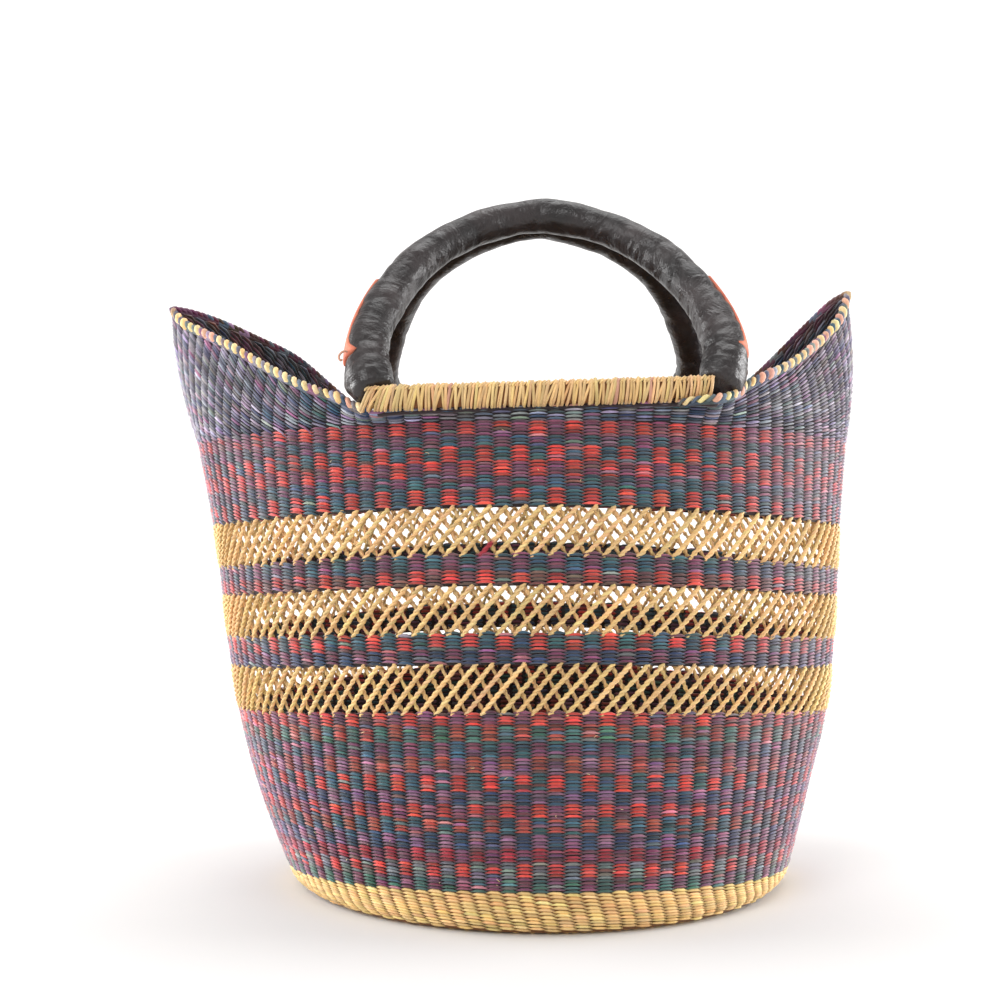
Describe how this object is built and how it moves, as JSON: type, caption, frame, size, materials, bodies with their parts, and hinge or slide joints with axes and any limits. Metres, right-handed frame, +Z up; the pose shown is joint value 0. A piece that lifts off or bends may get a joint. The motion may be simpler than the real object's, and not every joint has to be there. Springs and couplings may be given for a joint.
{
  "type": "tote bag",
  "caption": "Winged straw tote basket with an oval base, a dyed checked weave, openwork bands and two leather-wrapped arched handles.",
  "frame": {"origin": "middle of the oval base on the surface that the basket stands on", "axes": "+X to the right as seen from the front, along the line between the wing tips; +Y to the back; +Z up"},
  "size_m": [0.4503, 0.268, 0.4411],
  "materials": {
    "natural_straw": "twisted and wound natural straw, satin",
    "dyed_weave": "twined dyed straw in red, purple and teal checks",
    "slate_weave": "twined dyed straw in slate, lilac and teal",
    "dark_leather": "wrinkled, satin",
    "salmon_leather": "matte leather inlay"
  },
  "bodies": {
    "root": {"woven_base": "natural_straw", "lower_wall": "dyed_weave", "lattice_lower": "natural_straw", "check_ring_lower": "dyed_weave", "lattice_middle": "natural_straw", "check_ring_upper": "dyed_weave", "lattice_upper": "natural_straw", "upper_wall": "dyed_weave", "winged_collar": "slate_weave", "rim_roll_front": "natural_straw", "rim_roll_back": "natural_straw", "wing_binding_left": "natural_straw", "wing_binding_right": "natural_straw", "handle_front": "dark_leather", "handle_back": "dark_leather", "inlay_front_left": "salmon_leather", "inlay_front_right": "salmon_leather", "inlay_back_left": "salmon_leather", "inlay_back_right": "salmon_leather"}
  },
  "joints": []
}
